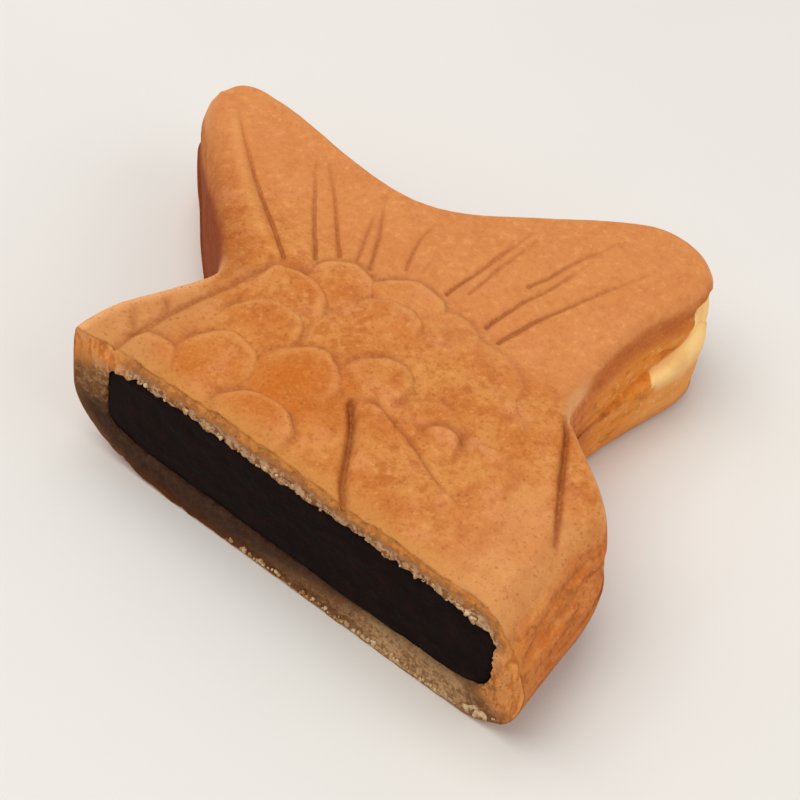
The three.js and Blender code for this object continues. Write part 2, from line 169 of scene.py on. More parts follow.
# relief of the mould
relief = {
    # discs that rise towards their tailward rim: centre, radius, height of the rim
    "scales": [
        (3.2, 29.6, 4.4, 0.95), (8.3, 21.5, 6.2, 1.05), (17.5, 21.4, 6.3, 1.05), (24.9, 22.6, 6.4, 1.05),
        (32.7, 18.2, 5.3, 1.05), (1.9, 10.3, 6.6, 1.05), (13.5, 10.8, 6.4, 1.0), (30.4, 8.4, 6.0, 1.1),
        (36.6, 9.6, 5.8, 0.9), (20.4, 2.2, 5.2, 0.85), (36.7, 0.6, 4.7, 0.6), (31.4, -5.8, 8.7, 0.35),
        (19.4, -8.4, 4.9, 0.5), (26.9, -13, 5.0, 0.35), (18, -17.8, 4.6, 0.35), (18.4, -11.6, 2.9, 0.95),
    ],
    "scaleFoot": 0.15,
    # grooves of the tail from the body outwards, with their depth
    "rays": [
        ([(31.5, 28.4), (43.8, 45), (52.9, 55.9)], 0.68), ([(34.8, 25), (47.2, 35.4), (53.3, 39.8)], 0.65),
        ([(38.1, 23), (45.8, 29.8), (54.6, 38.4)], 0.61), ([(39.5, 20.6), (46, 23.7), (50.4, 25.4)], 0.51),
        ([(39.6, 18), (46.1, 21.6), (54.7, 26.8)], 0.61), ([(43.3, 14.2), (49.8, 16.6), (55, 17.2)], 0.51),
        ([(44.6, 11.9), (49.5, 13)], 0.27), ([(43.8, 6.6), (52.5, 5.7), (63.8, 5.1)], 0.65),
        ([(46, 4), (54.8, 3.9), (64, 3.6)], 0.44),
        ([(53.4, -1.7), (58.2, -2.9), (64.6, -4.1), (72.6, -6.7)], 0.58),
        ([(42.5, -1.9), (50.8, -3.1), (57.9, -4.8), (63.9, -5.5)], 0.65),
        ([(41.1, -5.1), (49.4, -6.9), (57.7, -9.5), (69.2, -13.6)], 0.65),
        ([(15.3, 2.4), (11.3, -1), (5.1, -4.8), (-1, -9)], 0.5),
        ([(36, -21), (29.5, -25.1), (17.4, -32.3)], 0.4),
    ],
    "rayWidth": 0.38,
    # creases of the body: points, depth, width
    "folds": [
        ([(-2, 34.3), (0.4, 34), (5.6, 33.5), (10.2, 33.1), (16.2, 31.8), (22.7, 30.1), (27, 29.4)],
         0.85, 0.6),
        ([(4.8, 33.4), (6.7, 35.8), (9.7, 38.4)], 0.65, 0.5),
        ([(10, 32.9), (11.9, 33.8), (13.8, 36.2)], 0.75, 0.5),
        ([(16.2, 31.8), (19.9, 33.4)], 0.35, 0.4),
        ([(34.9, -21.8), (29.5, -25.1), (23.5, -28.5), (16.4, -33)], 1.1, 0.5),
        ([(15, 2.2), (11.3, -1), (5.1, -4.8), (1.3, -7.4), (-2, -9.8)], 1.2, 0.62),
        ([(15, 2.2), (16.8, 1.2), (17.2, -1)], 0.55, 0.4),
        ([(13.2, 3.6), (15, 3.2), (16.6, 2.6)], 0.3, 0.35),
        ([(21.9, -10.2), (21.5, -12.4), (19.3, -14), (16.9, -14.5), (15.3, -12.6)], 0.6, 0.45),
        ([(15.9, -5.2), (16.7, -5.5), (18.6, -5.8), (17.9, -8.1), (16.6, -8.5)], 0.5, 0.4),
        ([(43.5, 6.5), (43.1, 4.7), (42.8, 2.2)], 0.4, 0.45),
        ([(42.4, -1.8), (41.6, -3.2), (41.1, -5.1)], 0.35, 0.45),
        ([(2, -26.8), (6, -26), (12, -25.4)], 0.3, 0.7),
        ([(-2, -40.6), (3.5, -39.1), (9.7, -37.5), (14, -37), (19, -36.7), (23.5, -36.8)], 0.55, 0.4),
        ([(-2, -41), (3.1, -40.2), (8.6, -39), (12.8, -38.6), (17.9, -38.1), (23.6, -37.5)], 0.6, 0.35),
    ],
    "pectoralEdge": [
        (17.5, 0.6), (17.3, -1), (16.8, -3.1), (15.9, -6.1), (14.8, -9.3), (12.5, -14.6), (11.8, -18.1),
        (11.6, -21),
    ],
    "pectoralLift": 1.0,
    # shallow hollows: place, radius, depth
    "hollows": [
        (34.5, 12.8, 1.6, 0.5), (26.5, 12.4, 2.0, 0.5), (27, 6.3, 2.2, 0.5), (30.5, -11, 2.0, 0.4),
        (14.5, 6.6, 2.2, 0.35), (24.6, -3.6, 1.8, 0.4), (55.6, 52.3, 0.8, 0.6), (56.3, 50.6, 0.8, 0.5),
    ],
    "ridge": [(52.2, 56.6), (47.4, 51.4), (42.3, 45.9), (37.6, 40), (33.4, 34.4)],  # along the upper lobe's roll
    "ridgeLift": 0.4,
    "warp": 0.7,  # how far the scales stray from true circles
}


def tailShare(x, y):
    return ramp(x - 0.12 * np.abs(y - 8), 28, 42)


def finShare(x, y):
    return ramp(y, 24, 33) * ramp(x, 27, 16)


def rollShare(x, y):
    # where the lobes roll over slowly: the near side of the lower one and the left side of the upper one
    lower = ramp(y, -6, -12) * ramp(x, 40, 48) * ramp(x, 80, 74)
    inside = 0.754 * (0.87 * (x - 24) - (y - 36))
    upper = ramp(inside, 12, 7) * ramp(x, 24, 30) * ramp(x, 55, 49) * ramp(y, 34, 38) * ramp(y, 62, 54)
    return np.maximum(lower, upper)


def lobeSide(x, y):
    # near side of the lower lobe
    return ramp(x, 42, 49) * ramp(x, 78, 72) * ramp(y, -12.5, -16.5)


def bellyShare(x, y):
    return ramp(y, -16, -30) * ramp(x, 27, 17)


def lipWidth(x, y):
    under = ramp(x, 44, 62) * ramp(x, 79, 71) * ramp(y, -9, -19)
    return np.maximum(fish["ledge"] * under, lerp(0.0005, fish["lip"], ramp(x, 1, 6)))


def scaleRelief(x, y):
    # the highest disc shows: its height, how near its lit rim is, and how near the crease behind it; the crust
    # paints the rim as a highlight and the crease as shade
    height, rim, crease = np.zeros(len(x)), np.zeros(len(x)), np.zeros(len(x))
    flat = np.column_stack([x, y, np.zeros(len(x))])
    x = x + relief["warp"] * (cloud(flat, 5, 61) + 0.4 * cloud(flat, 1.8, 62))
    y = y + relief["warp"] * (cloud(flat, 5, 63) + 0.4 * cloud(flat, 1.8, 64))
    for cx, cy, radius, lift in relief["scales"]:
        reach = np.hypot(x - cx, y - cy)
        tilt = relief["scaleFoot"] + (1 - relief["scaleFoot"]) * (x - cx + radius) / (2 * radius)
        disc = lift * tilt * np.sqrt(np.clip(1 - (reach / radius) ** 9, 0, None))
        tailward = ramp((x - cx) / np.maximum(reach, 0.1), -0.35, 0.45) * lift
        ahead = disc > height
        rim = np.where(ahead, 0, rim)
        crease = np.where(ahead, 0, crease)
        lit, behind = bell(reach - radius + 0.8, 0.65), bell(reach - radius - 0.25, 0.75)
        rim = np.maximum(rim, tailward * lit * (disc >= height))
        crease = np.maximum(crease, tailward * behind * (disc >= height - 0.5))
        height = np.maximum(height, disc)
    return height, rim, crease


def pectoralRelief(x, y):
    edge = smoothRun(relief["pectoralEdge"], 24)
    edgeX = np.interp(-y, -edge[:, 1], edge[:, 0])
    inside = ramp(edgeX - x, -0.25, 0.55) * ramp(x, 2, 13)
    share = inside * ramp(y, -21, -12) * ramp(y - 0.6 * x, 1, -11)
    beside = bell(x - edgeX - 0.2, 0.55) * ramp(y, -21, -12) * ramp(y, 2, 0)
    return relief["pectoralLift"] * share, beside


def rayRelief(x, y, width):
    height = np.zeros(len(x))
    for points, depth in relief["rays"]:
        (fromX, fromY), (toX, toY) = points[0], points[-1]
        dx, dy = toX - fromX, toY - fromY
        share = np.clip(((x - fromX) * dx + (y - fromY) * dy) / (dx * dx + dy * dy), 0, 1)
        fade = 1 - 0.75 * share ** 2  # shallower towards the tail end
        aside = lineDistance(smoothRun(points, 8), x, y)
        height = np.minimum(height, -depth * fade * bell(aside, width, 1.4))
    return height


def foldRelief(x, y):
    height = np.zeros(len(x))
    for points, depth, width in relief["folds"]:
        aside = lineDistance(smoothRun(points, 14), x, y)
        height = np.minimum(height, -depth * bell(aside, width, 1.3))
    return height


def hollowRelief(x, y):
    hollows = relief["hollows"]
    return -sum(depth * bell(np.hypot(x - cx, y - cy), radius) for cx, cy, radius, depth in hollows)


def rounded(distance, width, power):
    # a quarter of a superellipse: 0 at the rim and 1 at the end of the width
    inward = np.clip(distance / width, 0, 1)
    return (1 - (1 - inward) ** power) ** (1 / power)


def upperSurface(x, y, distance):
    # heights of the upper half, and the masks that colour it
    belly = bellyShare(x, y)
    inside = np.maximum(distance - lipWidth(x, y), 0)
    edge = lerp(fish["shoulder"], fish["finShoulder"], finShare(x, y))
    edge = lerp(edge, fish["rollWidth"], rollShare(x, y))
    width = lerp(edge, fish["bellyShoulder"], belly)
    power = lerp(fish["shoulderRound"], fish["bellyRound"], belly)
    dome = fish["dome"] * (1 - (y / 40) ** 2) * ramp(inside, 0, 30)
    roof = lerp(fish["bodyTop"], fish["tailTop"], tailShare(x, y)) + dome
    scale, rim, crease = scaleRelief(x, y)
    plate, besidePlate = pectoralRelief(x, y)
    cuts = rayRelief(x, y, relief["rayWidth"]) + foldRelief(x, y)
    ridge = bell(lineDistance(smoothRun(relief["ridge"], 16), x, y), 1.1)
    lift = np.maximum(scale, plate) + cuts + hollowRelief(x, y) + relief["ridgeLift"] * ridge
    fade = ramp(inside, 0.4, 3)
    lipHere = lipWidth(x, y)
    lip = np.clip(1 - distance / lipHere, 0, 1)
    lipTop = (0.5 + fish["ledgeClimb"] * ramp(x, 60, 72)) * (1 - lip ** 2) ** 0.5
    foot = fish["seam"] + lipTop * ramp(lipHere, 0.3, 1.8)
    height = foot + (roof - foot) * rounded(inside, width, power) + lift * fade
    # masks of painted light: shade in the grooves, folds, creases behind the scales and beside the pectoral fin,
    # partly browning, and a highlight on the scales' lit rims and the lobe's ridge
    masks = {
        "grooveBrowningAndShade": np.clip(np.clip(-cuts / 0.8, 0, 1) ** 1.5 + 0.8 * crease + 0.8 * besidePlate, 0, 1) * fade,
        "rim": np.maximum(rim, 0.8 * ridge) * fade,
    }
    return height, masks


def lowerSurface(x, y, distance):
    # heights of the lower half, pressed by the same mould, and the masks that colour it
    tail = tailShare(x, y)
    back = ramp(y, -10, 20)
    scale, rim, crease = scaleRelief(x, y)
    plate, besidePlate = pectoralRelief(x, y)
    cuts = rayRelief(x, y, 0.7) + foldRelief(x, y)
    shown = ramp(distance, 1, 5) * ramp(x, 0.8, 4)
    sunk = 0.6 * (1 - np.clip(np.maximum(scale, plate), 0, 1)) * (1 - 0.6 * tail) - 0.7 * cuts
    ground = fish["tailLift"] * ramp(x, 37, 52) + sunk * shown
    body = lerp(fish["bellyHeel"], fish["backHeel"], back)
    width = lerp(body, fish["heel"], tail)
    power = lerp(fish["bellyHeelRound"], fish["heelRound"], np.maximum(back, tail))
    # masks of painted light, as on the upper half: shade in the grooves and creases, partly browning, and a
    # highlight on the lit rims
    masks = {
        "grooveBrowningAndShade": np.clip(-0.8 * cuts + 0.8 * crease + 0.8 * besidePlate, 0, 1) * shown,
        "rim": rim * shown,
    }
    return fish["seam"] - (fish["seam"] - ground) * rounded(distance, width, power), masks


# modelling helpers
def readArray(owner, attribute, columns=1, kind=float):
    values = np.empty(len(owner) * columns, dtype=kind)
    owner.foreach_get(attribute, values)
    return values.reshape(-1, columns) if columns > 1 else values


def readMark(piece, name):
    return readArray(piece.data.attributes[name].data, "value")


def writeMark(piece, name, values):
    marks = piece.data.attributes
    mark = marks[name] if name in marks else marks.new(name, "FLOAT", "POINT")
    mark.data.foreach_set("value", np.asarray(values, float))


def writeMarks(piece, marks):
    for name, values in marks.items():
        writeMark(piece, name, values)


def edgeEnds(piece):
    return readArray(piece.data.edges, "vertices", 2, int)


def openEdges(piece):
    # edges with one face only
    mesh = piece.data
    used = np.bincount(readArray(mesh.loops, "edge_index", kind=int), minlength=len(mesh.edges))
    return used == 1


def selectOnly(piece):
    bpy.ops.object.select_all(action="DESELECT")
    piece.select_set(True)
    bpy.context.view_layer.objects.active = piece


def editEdges(piece, chosen, *steps):
    # picks the edges, then runs each step on them in edit mode
    selectOnly(piece)
    bpy.context.tool_settings.mesh_select_mode = (False, True, False)
    mesh = piece.data
    mesh.polygons.foreach_set("select", np.zeros(len(mesh.polygons), bool))
    mesh.vertices.foreach_set("select", np.zeros(len(mesh.vertices), bool))
    mesh.edges.foreach_set("select", chosen)
    bpy.ops.object.mode_set(mode="EDIT")
    for step in steps:
        step()
    bpy.ops.object.mode_set(mode="OBJECT")


def editAll(piece, step):
    # runs the step on the whole piece in edit mode
    selectOnly(piece)
    bpy.ops.object.mode_set(mode="EDIT")
    bpy.ops.mesh.select_all(action="SELECT")
    step()
    bpy.ops.object.mode_set(mode="OBJECT")


def extrudeRow(piece, chosen, name, cuts):
    # one new strip of faces along the edges, cut into rows, with the mark rising from 0 to 1 over it
    writeMark(piece, name, np.zeros(len(piece.data.vertices)))
    editEdges(piece, chosen, bpy.ops.mesh.extrude_edges_move)
    mark = readMark(piece, name)
    mark[readArray(piece.data.vertices, "select", kind=bool)] = 1
    writeMark(piece, name, mark)
    ends = mark[edgeEnds(piece)]
    rungs = np.abs(ends[:, 0] - ends[:, 1]) > 0.5
    editEdges(piece, rungs, lambda: bpy.ops.mesh.subdivide(number_cuts=cuts))


def movePoints(piece, points):
    piece.data.vertices.foreach_set("co", np.asarray(points, float).ravel())
    piece.data.update()


# the cake
cake = {
    "along": 200, "across": 220,  # cells of the upper side; the underside has half as many each way
    "wallRows": 26, "lipRows": 5, "heelRows": 16,
    "crumbRows": 17, "pocketRows": 11,
    "fillReach": 44, "fillBack": 35.1, "fillBelly": -35.3, "fillEnd": 3, "fillMid": 13.6, "fillHalf": 7.4,
    "fillSquare": 6, "fillNose": 2.4, "pocketGap": 0.3,
    "backTaper": (1.5, 1.7), "bellyTaper": (1.6, 1.6), "halfTaper": (2.6, 2.2),  # powers of the nose's curves
    "spine": 0.9,  # how near the mouth's ends the line lies that its points spread from, in half heights
    "merge": 0.001,  # points of the two halves this near become one
}


def makeHalf(name, along, across, rows):
    # a flat grid with a strip of rows along three of its sides, marked by where each point belongs
    bpy.ops.object.select_all(action="DESELECT")
    bpy.ops.mesh.primitive_grid_add(x_subdivisions=along, y_subdivisions=across, size=1)
    half = bpy.context.object
    half.name = name
    spots = readArray(half.data.vertices, "co", 3) + 0.5
    share, side = spots[:, 0], spots[:, 1]
    corner = along / (2 * along + across)
    around = np.where(share > 1 - tiny, corner + side * (1 - 2 * corner), 0)
    around = np.where(side < tiny, share * corner, around)
    around = np.where(side > 1 - tiny, 1 - share * corner, around)
    writeMarks(half, {"share": share, "side": side, "around": around})
    nearCut = np.all(share[edgeEnds(half)] < tiny, axis=1)
    extrudeRow(half, openEdges(half) & ~nearCut, "row", rows - 1)
    return half


def rimPlace(around):
    # rim point and inward direction for a mark that runs evenly over the cells of the three sides
    corner = cake["along"] / (2 * cake["along"] + cake["across"])
    third = (len(bellyRun) - 1) / (len(rimRun) - 1)
    share = np.interp(around, [0, corner, 1 - corner, 1], [0, third, 1 - third, 1])
    inward = pointAt(rimInward, share)
    return pointAt(rimRun, share), inward / np.linalg.norm(inward, axis=1)[:, None]


def insetRun(start):
    # one side of the outline, from that point of the rim on, moved inwards past the steep edge
    rim, inward = rimRun[start:start + len(bellyRun)], rimInward[start:start + len(bellyRun)]
    return rim + (fish["wallWidth"] + lipWidth(*rim.T)[:, None]) * inward


def planPoints(share, side):
    # the inset sides carried inwards over the whole patch
    belly, tail = insetRun(0), insetRun(len(bellyRun) - 1)
    back = insetRun(len(rimRun) - len(backRun))[::-1]
    onBelly, onBack, onTail = pointAt(belly, share), pointAt(back, share), pointAt(tail, side)
    s, t = share[:, None], side[:, None]
    onCut = lerp(belly[0], back[0], t)
    corners = lerp(onCut, lerp(belly[-1], back[-1], t), s)
    return lerp(onBelly, onBack, t) + lerp(onCut, onTail, s) - corners


def placeHalf(half, upper):
    share, side, around, row = (readMark(half, name) for name in ("share", "side", "around", "row"))
    spots = np.zeros((len(share), 3))
    inner = row < tiny
    plan = planPoints(share[inner], side[inner])
    distance = np.zeros(len(share))
    distance[inner] = lineDistance(rimRun[::4], *plan.T)
    spots[inner, :2] = plan
    outer = ~inner
    rim, inward = rimPlace(around[outer])
    lip = lipWidth(*rim.T)
    if upper:
        lipRow = cake["wallRows"] / (cake["wallRows"] + cake["lipRows"])
        angle = np.pi / 2 * np.clip(1 - row[outer] / lipRow, 0, 1)
        onLip = np.clip((1 - row[outer]) / (1 - lipRow), 0, 1)
        depth = lip * onLip + fish["wallWidth"] * (1 - np.cos(angle) ** (2 / fish["shoulderRound"]))
    else:
        angle = np.pi / 2 * (1 - row[outer])
        depth = (lip + fish["wallWidth"]) * (1 - np.cos(angle))
    distance[outer] = depth
    spots[outer, :2] = rim + depth[:, None] * inward
    surface = upperSurface if upper else lowerSurface
    spots[:, 2], masks = surface(spots[:, 0], spots[:, 1], distance)
    writeMarks(half, {**masks, "under": np.full(len(share), 0 if upper else 1)})
    movePoints(half, spots)


def pocketSection(x, grow):
    # middle, reach, half height and squareness of the filling at a distance from the cut
    share = np.clip(x / (cake["fillReach"] + grow), 0, 1)

    def taper(name):
        power, root = cake[name]
        return (1 - share ** power) ** (1 / root)

    end = cake["fillEnd"]
    towardsBack = end + (cake["fillBack"] - end + grow) * taper("backTaper")
    towardsBelly = end + (cake["fillBelly"] - end - grow) * taper("bellyTaper")
    half = (cake["fillHalf"] + grow) * taper("halfTaper")
    square = lerp(cake["fillSquare"], cake["fillNose"], share)
    return (towardsBack + towardsBelly) / 2, (towardsBack - towardsBelly) / 2, half, square


def signedPower(value, power):
    return np.sign(value) * np.abs(value) ** power


def pocketPoint(x, angle, grow):
    middle, reach, half, square = pocketSection(x, grow)
    y = middle + reach * signedPower(np.cos(angle), 2 / square)
    z = cake["fillMid"] + half * signedPower(np.sin(angle), 2 / square)
    return np.column_stack([x, y, z])


def mouthAngle(y, z):
    # the angle of the pocket's mouth that faces a point of the cake's outline at the cut
    middle, reach, half, square = pocketSection(np.zeros(len(y)), cake["pocketGap"])
    free = reach - cake["spine"] * half
    spine = middle + np.clip(y - middle, -free, free)

    def onMouth(share):
        return (spine + share * (y - spine) - middle) / reach, share * (z - cake["fillMid"]) / half

    near, far = np.zeros(len(y)), np.ones(len(y))
    for _ in range(40):  # halves the gap between a point inside the mouth and one outside
        tried = (near + far) / 2
        u, v = onMouth(tried)
        outside = np.abs(u) ** square + np.abs(v) ** square > 1
        far = np.where(outside, tried, far)
        near = np.where(outside, near, tried)
    u, v = onMouth(near)
    return np.arctan2(signedPower(v, square / 2), signedPower(u, square / 2))


def joinHalves():
    upper = makeHalf("cake_visual", cake["along"], cake["across"], cake["wallRows"] + cake["lipRows"])
    lower = makeHalf("underside", cake["along"] // 2, cake["across"] // 2, cake["heelRows"])
    lastRow = np.all(readMark(lower, "row")[edgeEnds(lower)] > 1 - tiny, axis=1)
    editEdges(lower, lastRow, bpy.ops.mesh.subdivide)  # as many points as the upper half's rim
    placeHalf(upper, True)
    placeHalf(lower, False)
    editAll(lower, bpy.ops.mesh.flip_normals)
    selectOnly(upper)
    lower.select_set(True)
    bpy.ops.object.join()
    editAll(upper, lambda: bpy.ops.mesh.remove_doubles(threshold=cake["merge"]))
    print("cake halves joined", len(upper.data.vertices))
    return upper


def cutOpen(piece):
    # the cut face, and behind it the pocket that holds the filling
    spots = readArray(piece.data.vertices, "co", 3)
    atCut = spots[edgeEnds(piece)][openEdges(piece)][:, :, 0] < cake["merge"]
    assert np.all(atCut), "the rims are not closed"
    writeMarks(piece, {"outlineY": spots[:, 1], "outlineZ": spots[:, 2]})
    extrudeRow(piece, openEdges(piece), "crumb", cake["crumbRows"] - 1)
    extrudeRow(piece, openEdges(piece), "pocket", cake["pocketRows"] - 1)
    crumb, pocket, outlineY, outlineZ = (
        readMark(piece, name) for name in ("crumb", "pocket", "outlineY", "outlineZ"))
    spots = readArray(piece.data.vertices, "co", 3)
    cutFace = crumb > tiny
    angle = mouthAngle(outlineY[cutFace], outlineZ[cutFace])
    mouth = pocketPoint(np.zeros(len(angle)), angle, cake["pocketGap"])
    outline = np.column_stack([np.zeros(len(angle)), outlineY[cutFace], outlineZ[cutFace]])
    spots[cutFace] = lerp(outline, mouth, crumb[cutFace][:, None])
    deep = pocket > tiny
    depth = (cake["fillReach"] + cake["pocketGap"]) * np.sin(np.pi / 2 * pocket[deep])
    spots[deep] = pocketPoint(depth, mouthAngle(outlineY[deep], outlineZ[deep]), cake["pocketGap"])
    movePoints(piece, spots)


# rough surfaces
crumbs = {
    "crustRough": [(5.5, 0.16), (2.1, 0.09), (1.0, 0.045)],  # size and height of the lumps of the crust
    "faceRough": [(2.6, 0.2), (1.1, 0.24), (0.6, 0.16)],  # the same on the cut face
    "edgeDrop": 0.5, "edgeLean": 0.8,  # the crust breaks away along the cut, and its torn edge leans back
    "streakDepth": 0.25, "bellyStreaks": 0.6,  # grooves that run round the walls
}


def roughenCake(spots, normals, crumb, pocket, cream):
    # in the fish's own millimetres: the crust gets low lumps, the cut face gets pits and a ragged edge
    x, y, z = spots.T
    skin = crumb < tiny
    nearSkin = np.where(pocket < tiny, (1 - crumb) ** 3, 0)  # 1 on the skin, fading over the cut face
    rough = lumps(spots, crumbs["crustRough"]) * lerp(1, 0.55, tailShare(x, y)) * nearSkin
    out = spots.copy()
    out[:, 2] += rough * (ramp(z, 13.5, 18) - ramp(z, 9, 4) * ramp(z, 0.05, 0.8))
    # ridges that run round the walls
    side = ramp(z, 2, 5) * ramp(z, 22, 19) * skin * ramp(x, 0.5, 3) * (1 - cream)
    streaks = cloud(spots * (0.07, 0.07, 0.6), 1.0, 41) + 0.5 * cloud(spots * (0.12, 0.12, 1.3), 1.0, 42)
    depth = lerp(crumbs["streakDepth"], crumbs["bellyStreaks"], bellyShare(x, y))
    shadedRecess = 0.6 * bell(z - 19.2, 1.1) * lobeSide(x, y)
    out -= normals * (depth * side * ramp(streaks, 0.3, -0.4) + shadedRecess)[:, None]
    # the lower lobe's tip stands back below its upper plate
    setBack = 1.2 * ramp(x, 68, 75) * ramp(y, -13, -18) * ramp(z, 20.6, 18.4) * ramp(z, 0, 4)
    fromLobe = np.column_stack([x - 66, y + 13])
    fromLobe /= np.maximum(np.linalg.norm(fromLobe, axis=1), 1)[:, None]
    out[:, :2] -= fromLobe * setBack[:, None]
    # broken edge of the crust at the cut
    along = np.column_stack([np.zeros(len(y)), y, np.zeros(len(y))])
    uneven = 1 + lumps(along, [(3.5, 0.45), (1.2, 0.25)], 45)
    lean = crumbs["edgeLean"] * ramp(z, 14, 21) * ramp(y, 42, 33) * uneven
    out[:, 0] += lean * np.where(skin, ramp(x, 3.6, 0), 0)
    edge = bell(np.clip(x, 0, None), 0.8, 1) * nearSkin
    ragged = 0.5 + lumps(spots, [(1.5, 0.5), (0.6, 0.35)], 8)
    inwards = ramp(z, 9, 3) - ramp(z, 16, 22)
    out[:, 2] += inwards * crumbs["edgeDrop"] * edge * np.clip(ragged, 0, 1.2)
    # the cut face
    pits = 0.42 + lumps(spots, crumbs["faceRough"], 20)
    face = (~skin) & (pocket < tiny)
    ridges = 0.35 * cloud(spots * (1, 0.9, 0.22), 1.0, 47) * ramp(y, 31, 36) * ramp(z, 12, 15)
    depth = np.clip(pits + ridges, 0.02, 1.1)
    out[face, 0] = x[face] + (depth * ramp(crumb, 0, 0.12) + lean * (1 - crumb) ** 1.3)[face]
    tear = lumps(spots, [(1.4, 0.42), (0.7, 0.3)], 31)
    away = np.column_stack([y - np.clip(y, -28, 28), z - cake["fillMid"]])
    away /= np.maximum(np.linalg.norm(away, axis=1), 0.1)[:, None]
    out[face, 1:] += (away * (tear * ramp(crumb, 0.5, 1))[:, None])[face]
    mouth = pocket > tiny
    out[mouth, 0] = x[mouth] + (np.clip(pits, 0.02, 1.1) * ramp(pocket, 0.35, 0))[mouth]
    return out


def markRegions(piece, spots):
    x, y, z = spots.T
    upper = 1 - readMark(piece, "under")
    edge = lineDistance(rimRun[::4], x, y)
    roof = lerp(fish["bodyTop"], fish["tailTop"], tailShare(x, y))
    lowBelly = bellyShare(x, y)
    wall = ramp(z, roof - 1.6, roof - 5.5) * lerp(1, 0.8, lowBelly)
    near = lobeSide(x, y)
    wall = np.maximum(wall, near * ramp(z, 21.6, 20.5)) * lerp(ramp(z, 1.4, 3.6), 1, upper)
    low = np.interp(x, [59, 61, 65.3, 68.9, 71.2, 80], [11.8, 10.4, 9.8, 10.2, 11.5, 12])
    high = np.interp(x, [59.5, 62.3, 66.3, 69.7, 70.6, 72.3, 80], [13, 13.6, 15, 16.8, 18.6, 19.4, 19.6])
    start = x - 0.85 * np.clip(edge, 0, 1.8)
    soft = lerp(0.8, 2.4, ramp(x, 60, 66))
    end = 4.5 * ramp(y, -20, -11)  # narrows to nothing round the tip
    cream = ramp(z, low - soft + end, low + soft / 2 + end) * ramp(z, high + 0.3 - end, high - 0.3 - end)
    cream = cream * ramp(start, 58.9, 59.5) * ramp(y, -9, -13) * bell(edge, 3.8, 6)
    writeMark(piece, "wall", wall)
    writeMark(piece, "cream", cream)
    writeMark(piece, "tail", tailShare(x, y))
    patch = np.exp(-((x - 12) ** 2 + (y - 10.5) ** 2) / 60)
    patch = patch + 0.7 * np.exp(-((x - 6) ** 2 + (y - 27) ** 2) / 40)
    writeMark(piece, "warm", np.clip(patch, 0, 1) * upper)
    writeMark(piece, "fin", finShare(x, y) * ramp(x, 30, 12) * upper)
    writeMark(piece, "bellyTop", lowBelly * ramp(z, 18.5, 22) * upper)
    outlineY = readMark(piece, "outlineY")
    belly = 0.85 * ramp(outlineY, -36, -40) * ramp(z, 1.5, 8)
    writeMark(piece, "sideCrumb", np.maximum(ramp(outlineY, 30, 37) * ramp(z, 16, 22), belly))
    writeMark(piece, "band", near * ramp(z, 19, 17.4))
    writeMark(piece, "lowBand", near * ramp(z, 11, 7.5) * ramp(x, 52, 62))
    writeMark(piece, "backEnd", ramp(outlineY, -20, 20))
    writeMark(piece, "paleLow", ramp(outlineY, -8, -19) * ramp(outlineY, -37, -31))
    lobe = ramp(x, 21, 25.5) * ramp(y, 33.5, 36.5) * ramp(x, 56, 44)
    # painted highlight along the top edges of the outline
    light = bell(edge - 1.3, 0.9) * ramp(z, roof - 3.5, roof - 2) * (1 - lowBelly)
    writeMark(piece, "rimLight", light * (1 - lobe * ramp(x, 55, 46)) * (1 - near))
    # painted shade over the rolled left side of the upper lobe, strongest by its edge
    reach = np.interp(x, [24, 28, 34, 44, 56], [10, 9.5, 8, 6.5, 4])
    share = np.interp(x, [24, 34, 40, 48, 56], [1, 0.95, 0.65, 0.3, 0.15])
    shade = ramp(x, 20, 24) * ramp(y, 28, 33) * share * np.clip(1 - edge / reach, 0, 1)
    writeMark(piece, "shade", shade * ramp(x, 60, 52))
    # the upper lobe's left wall made darker: painted shade, partly deeper browning
    shadeTop = np.interp(x, [25, 30, 35, 38, 44], [23.4, 23.4, 22.4, 20.4, 17.5])
    writeMark(piece, "dark", lobe * ramp(z, shadeTop + 0.7, shadeTop - 1.5) * ramp(z, 5, 12))
    # painted shade in the recess along the lower lobe's side, under its upper plate
    writeMark(piece, "shadedRecess", near * ramp(z, 21.7, 20.9) * ramp(z, 16.8, 18.6) * (1 - cream))


def makeCake():
    piece = joinHalves()
    cutOpen(piece)
    spots = readArray(piece.data.vertices, "co", 3)
    markRegions(piece, spots)
    crumb, pocket, cream = (readMark(piece, name) for name in ("crumb", "pocket", "cream"))
    spots = roughenCake(spots, readArray(piece.data.vertices, "normal", 3), crumb, pocket, cream)
    movePoints(piece, np.clip(spots * mm + toFrame, cakeLow, cakeHigh))  # rough, but inside the same box
    editAll(piece, lambda: bpy.ops.mesh.remove_doubles(threshold=1e-7))
    bpy.ops.object.shade_smooth()
    return piece


cakePiece = makeCake()
print("cake made", len(cakePiece.data.polygons), "faces, open edges", int(openEdges(cakePiece).sum()))
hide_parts("cake")
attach(cakePiece, "root")


# the bean paste
paste = {
    "segments": 240, "rings": 96,
    "faceShare": 0.42,  # part of the rings that lies on the cut face
    "grow": 0.3,
    "faceBack": 0.5, "edgeBack": 0.35,  # how far the face lies behind the cut, and its rim behind that
    "rough": [(6.0, 0.12), (2.4, 0.1), (1.1, 0.05)],
    "dark": (20, 7, 4), "brown": (40, 17, 10), "dry": (56, 30, 20),
}


